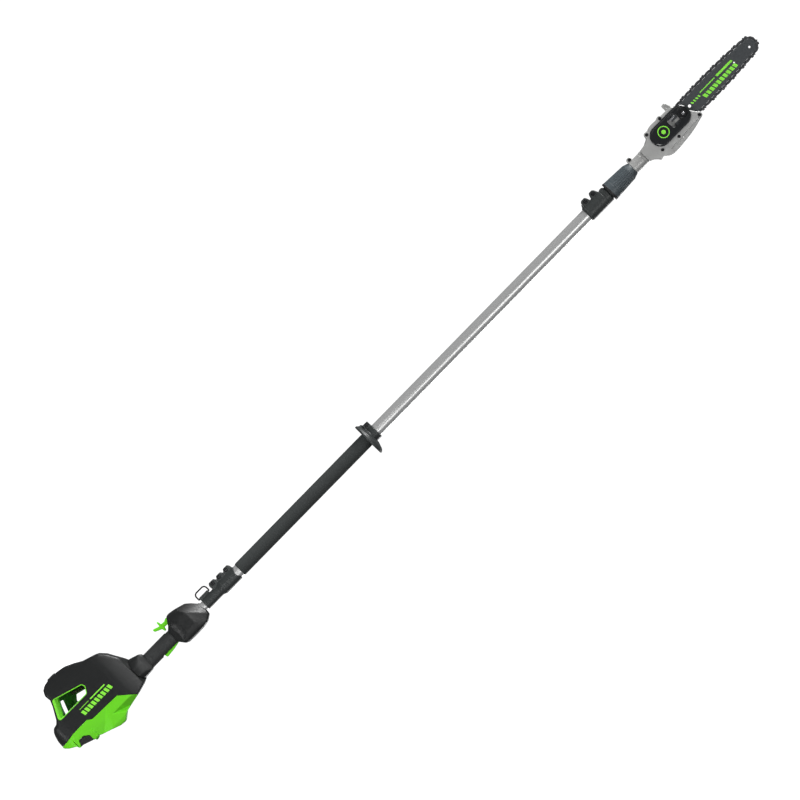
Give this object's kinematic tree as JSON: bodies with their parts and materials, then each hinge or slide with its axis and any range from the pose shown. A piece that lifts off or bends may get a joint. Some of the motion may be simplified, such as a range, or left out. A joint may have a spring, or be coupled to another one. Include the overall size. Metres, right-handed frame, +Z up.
{
  "type": "telescoping pole saw",
  "caption": "Battery pole saw: lime and black power head with an empty battery bay, trigger handle, foam-gripped telescoping tube and a chain bar on a cast gear head.",
  "frame": {"origin": "middle of the flat foot under the battery bay", "axes": "+X along the pole towards the saw, +Z up as held, Y across with the bar's cover on the +Y side"},
  "size_m": [2.6268, 0.1, 0.226],
  "materials": {
    "shell_black": "fine-textured satin",
    "cover_lime": "satin gloss",
    "liner_lime": "satin gloss",
    "panel_green": "satin",
    "inner_black": "matt",
    "foot_rubber": "matt",
    "grip_rubber": "matt, soft-touch",
    "foam": "matt closed-cell foam",
    "contact_brass": "plain",
    "copper_wire": "enamelled",
    "board_green": "solder mask",
    "bright_steel": "ground",
    "black_steel": "black oxide",
    "tube_aluminium": "drawn and anodised",
    "cast_aluminium": "cast, blasted",
    "bar_steel": "satin lacquer",
    "chain_steel": "oiled",
    "cutter_steel": "chromed edges",
    "nut_slate": "satin",
    "cover_gloss_black": "high gloss",
    "white_nylon": "natural"
  },
  "bodies": {
    "powerhead": {"shell_left": "shell_black", "shell_right": "shell_black", "top_cover": "cover_lime", "latch_bezel": "inner_black", "latch_spring": "bright_steel", "bay_liner": "liner_lime", "bay_panel": "panel_green", "terminal_block": "inner_black", "terminals": "contact_brass", "foot_pad": "foot_rubber", "housing_screws": "black_steel", "motor_can": "bright_steel", "motor_windings": "copper_wire", "controller": "board_green", "shaft_bearings": "bright_steel", "rear_collar": "shell_black", "handle_core": "inner_black", "handle_grip": "grip_rubber", "switch_box": "inner_black", "bell_left": "shell_black", "bell_right": "shell_black", "return_springs": "bright_steel", "rear_tube": "tube_aluminium", "adapter_clamp": "shell_black", "clamp_bolts": "black_steel", "outer_tube": "tube_aluminium", "foam_grip": "foam", "hand_guard": "shell_black", "tube_clamp": "shell_black", "collet": "white_nylon"},
    "latch_button": {"latch_button": "cover_lime"},
    "latch_rocker": {"latch_rocker": "bright_steel"},
    "latch_bolt": {"latch_bolt": "inner_black"},
    "rotor": {"motor_rotor": "bright_steel", "motor_fan": "inner_black", "drive_tube": "bright_steel"},
    "trigger": {"trigger": "cover_lime"},
    "lock_lever": {"lock_lever": "cover_lime"},
    "bail": {"hanger_bail": "black_steel"},
    "collet_nut": {"collet_nut": "nut_slate"},
    "head": {"inner_tube": "tube_aluminium", "tube_bush": "white_nylon", "neck_clamp": "cast_aluminium", "gear_case": "cast_aluminium", "case_cover": "cast_aluminium", "oval_cover": "cover_gloss_black", "case_screws": "black_steel", "head_bearings": "bright_steel", "bar_fixings": "black_steel", "guide_bar": "bar_steel", "chain_drivers": "chain_steel", "chain_straps": "chain_steel", "chain_cutters": "cutter_steel", "branch_hook": "cast_aluminium", "oil_tank": "inner_black"},
    "drive_rod": {"drive_rod": "bright_steel", "bevel_pinion": "bright_steel"},
    "spindle": {"spindle": "bright_steel", "sprocket": "bright_steel"},
    "oil_cap": {"oil_cap": "inner_black"}
  },
  "joints": [
    {"name": "pole_slide", "type": "slide", "parent": "powerhead", "child": "head", "axis": [1, 0, 0], "range_m": [0, 1]},
    {"name": "collet_twist", "type": "hinge", "parent": "powerhead", "child": "collet_nut", "pos_m": [2, 0, 0.16], "axis": [1, 0, 0], "range_deg": [0, 110]},
    {"name": "trigger_pull", "type": "hinge", "parent": "powerhead", "child": "trigger", "pos_m": [0.326, 0, 0.12], "axis": [0, 1, 0], "range_deg": [0, 10], "stiffness_Nm_per_rad": 0.6, "springref_deg": -14.32},
    {"name": "lock_press", "type": "hinge", "parent": "powerhead", "child": "lock_lever", "pos_m": [0.312, 0, 0.172], "axis": [0, -1, 0], "range_deg": [0, 6], "stiffness_Nm_per_rad": 0.4, "springref_deg": -14.32},
    {"name": "latch_press", "type": "slide", "parent": "powerhead", "child": "latch_button", "axis": [0, 0, -1], "range_m": [0, 0.0035], "stiffness_N_per_m": 600, "springref_m": -0.003},
    {"name": "latch_rock", "type": "hinge", "parent": "powerhead", "child": "latch_rocker", "pos_m": [-0.041, 0, 0.178], "axis": [0, 1, 0], "range_deg": [0, 14.4]},
    {"name": "latch_lift", "type": "slide", "parent": "powerhead", "child": "latch_bolt", "axis": [0, 0, 1], "range_m": [0, 0.0032], "deforming": ["latch_spring"]},
    {"name": "rotor_spin", "type": "hinge", "parent": "powerhead", "child": "rotor", "pos_m": [0.05, 0, 0.16], "axis": [1, 0, 0], "continuous": true},
    {"name": "rod_spin", "type": "hinge", "parent": "head", "child": "drive_rod", "pos_m": [2.1, 0, 0.16], "axis": [1, 0, 0], "continuous": true},
    {"name": "spindle_spin", "type": "hinge", "parent": "head", "child": "spindle", "pos_m": [2.172, 0, 0.16], "axis": [0, 1, 0], "continuous": true},
    {"name": "bail_swing", "type": "hinge", "parent": "powerhead", "child": "bail", "pos_m": [0.44, 0, 0.14], "axis": [1, 0, 0], "range_deg": [-75, 75]},
    {"name": "oil_cap_turn", "type": "hinge", "parent": "head", "child": "oil_cap", "pos_m": [2.222, -0.024, 0.16], "axis": [0, -1, 0], "range_deg": [0, 90]}
  ],
  "couplings": [
    {"joint": "latch_rock", "follows": "latch_press", "rad_per_m": 71.4},
    {"joint": "latch_lift", "follows": "latch_press", "ratio": 0.886},
    {"joint": "rod_spin", "follows": "rotor_spin", "ratio": 1},
    {"joint": "spindle_spin", "follows": "rotor_spin", "ratio": 0.5}
  ]
}
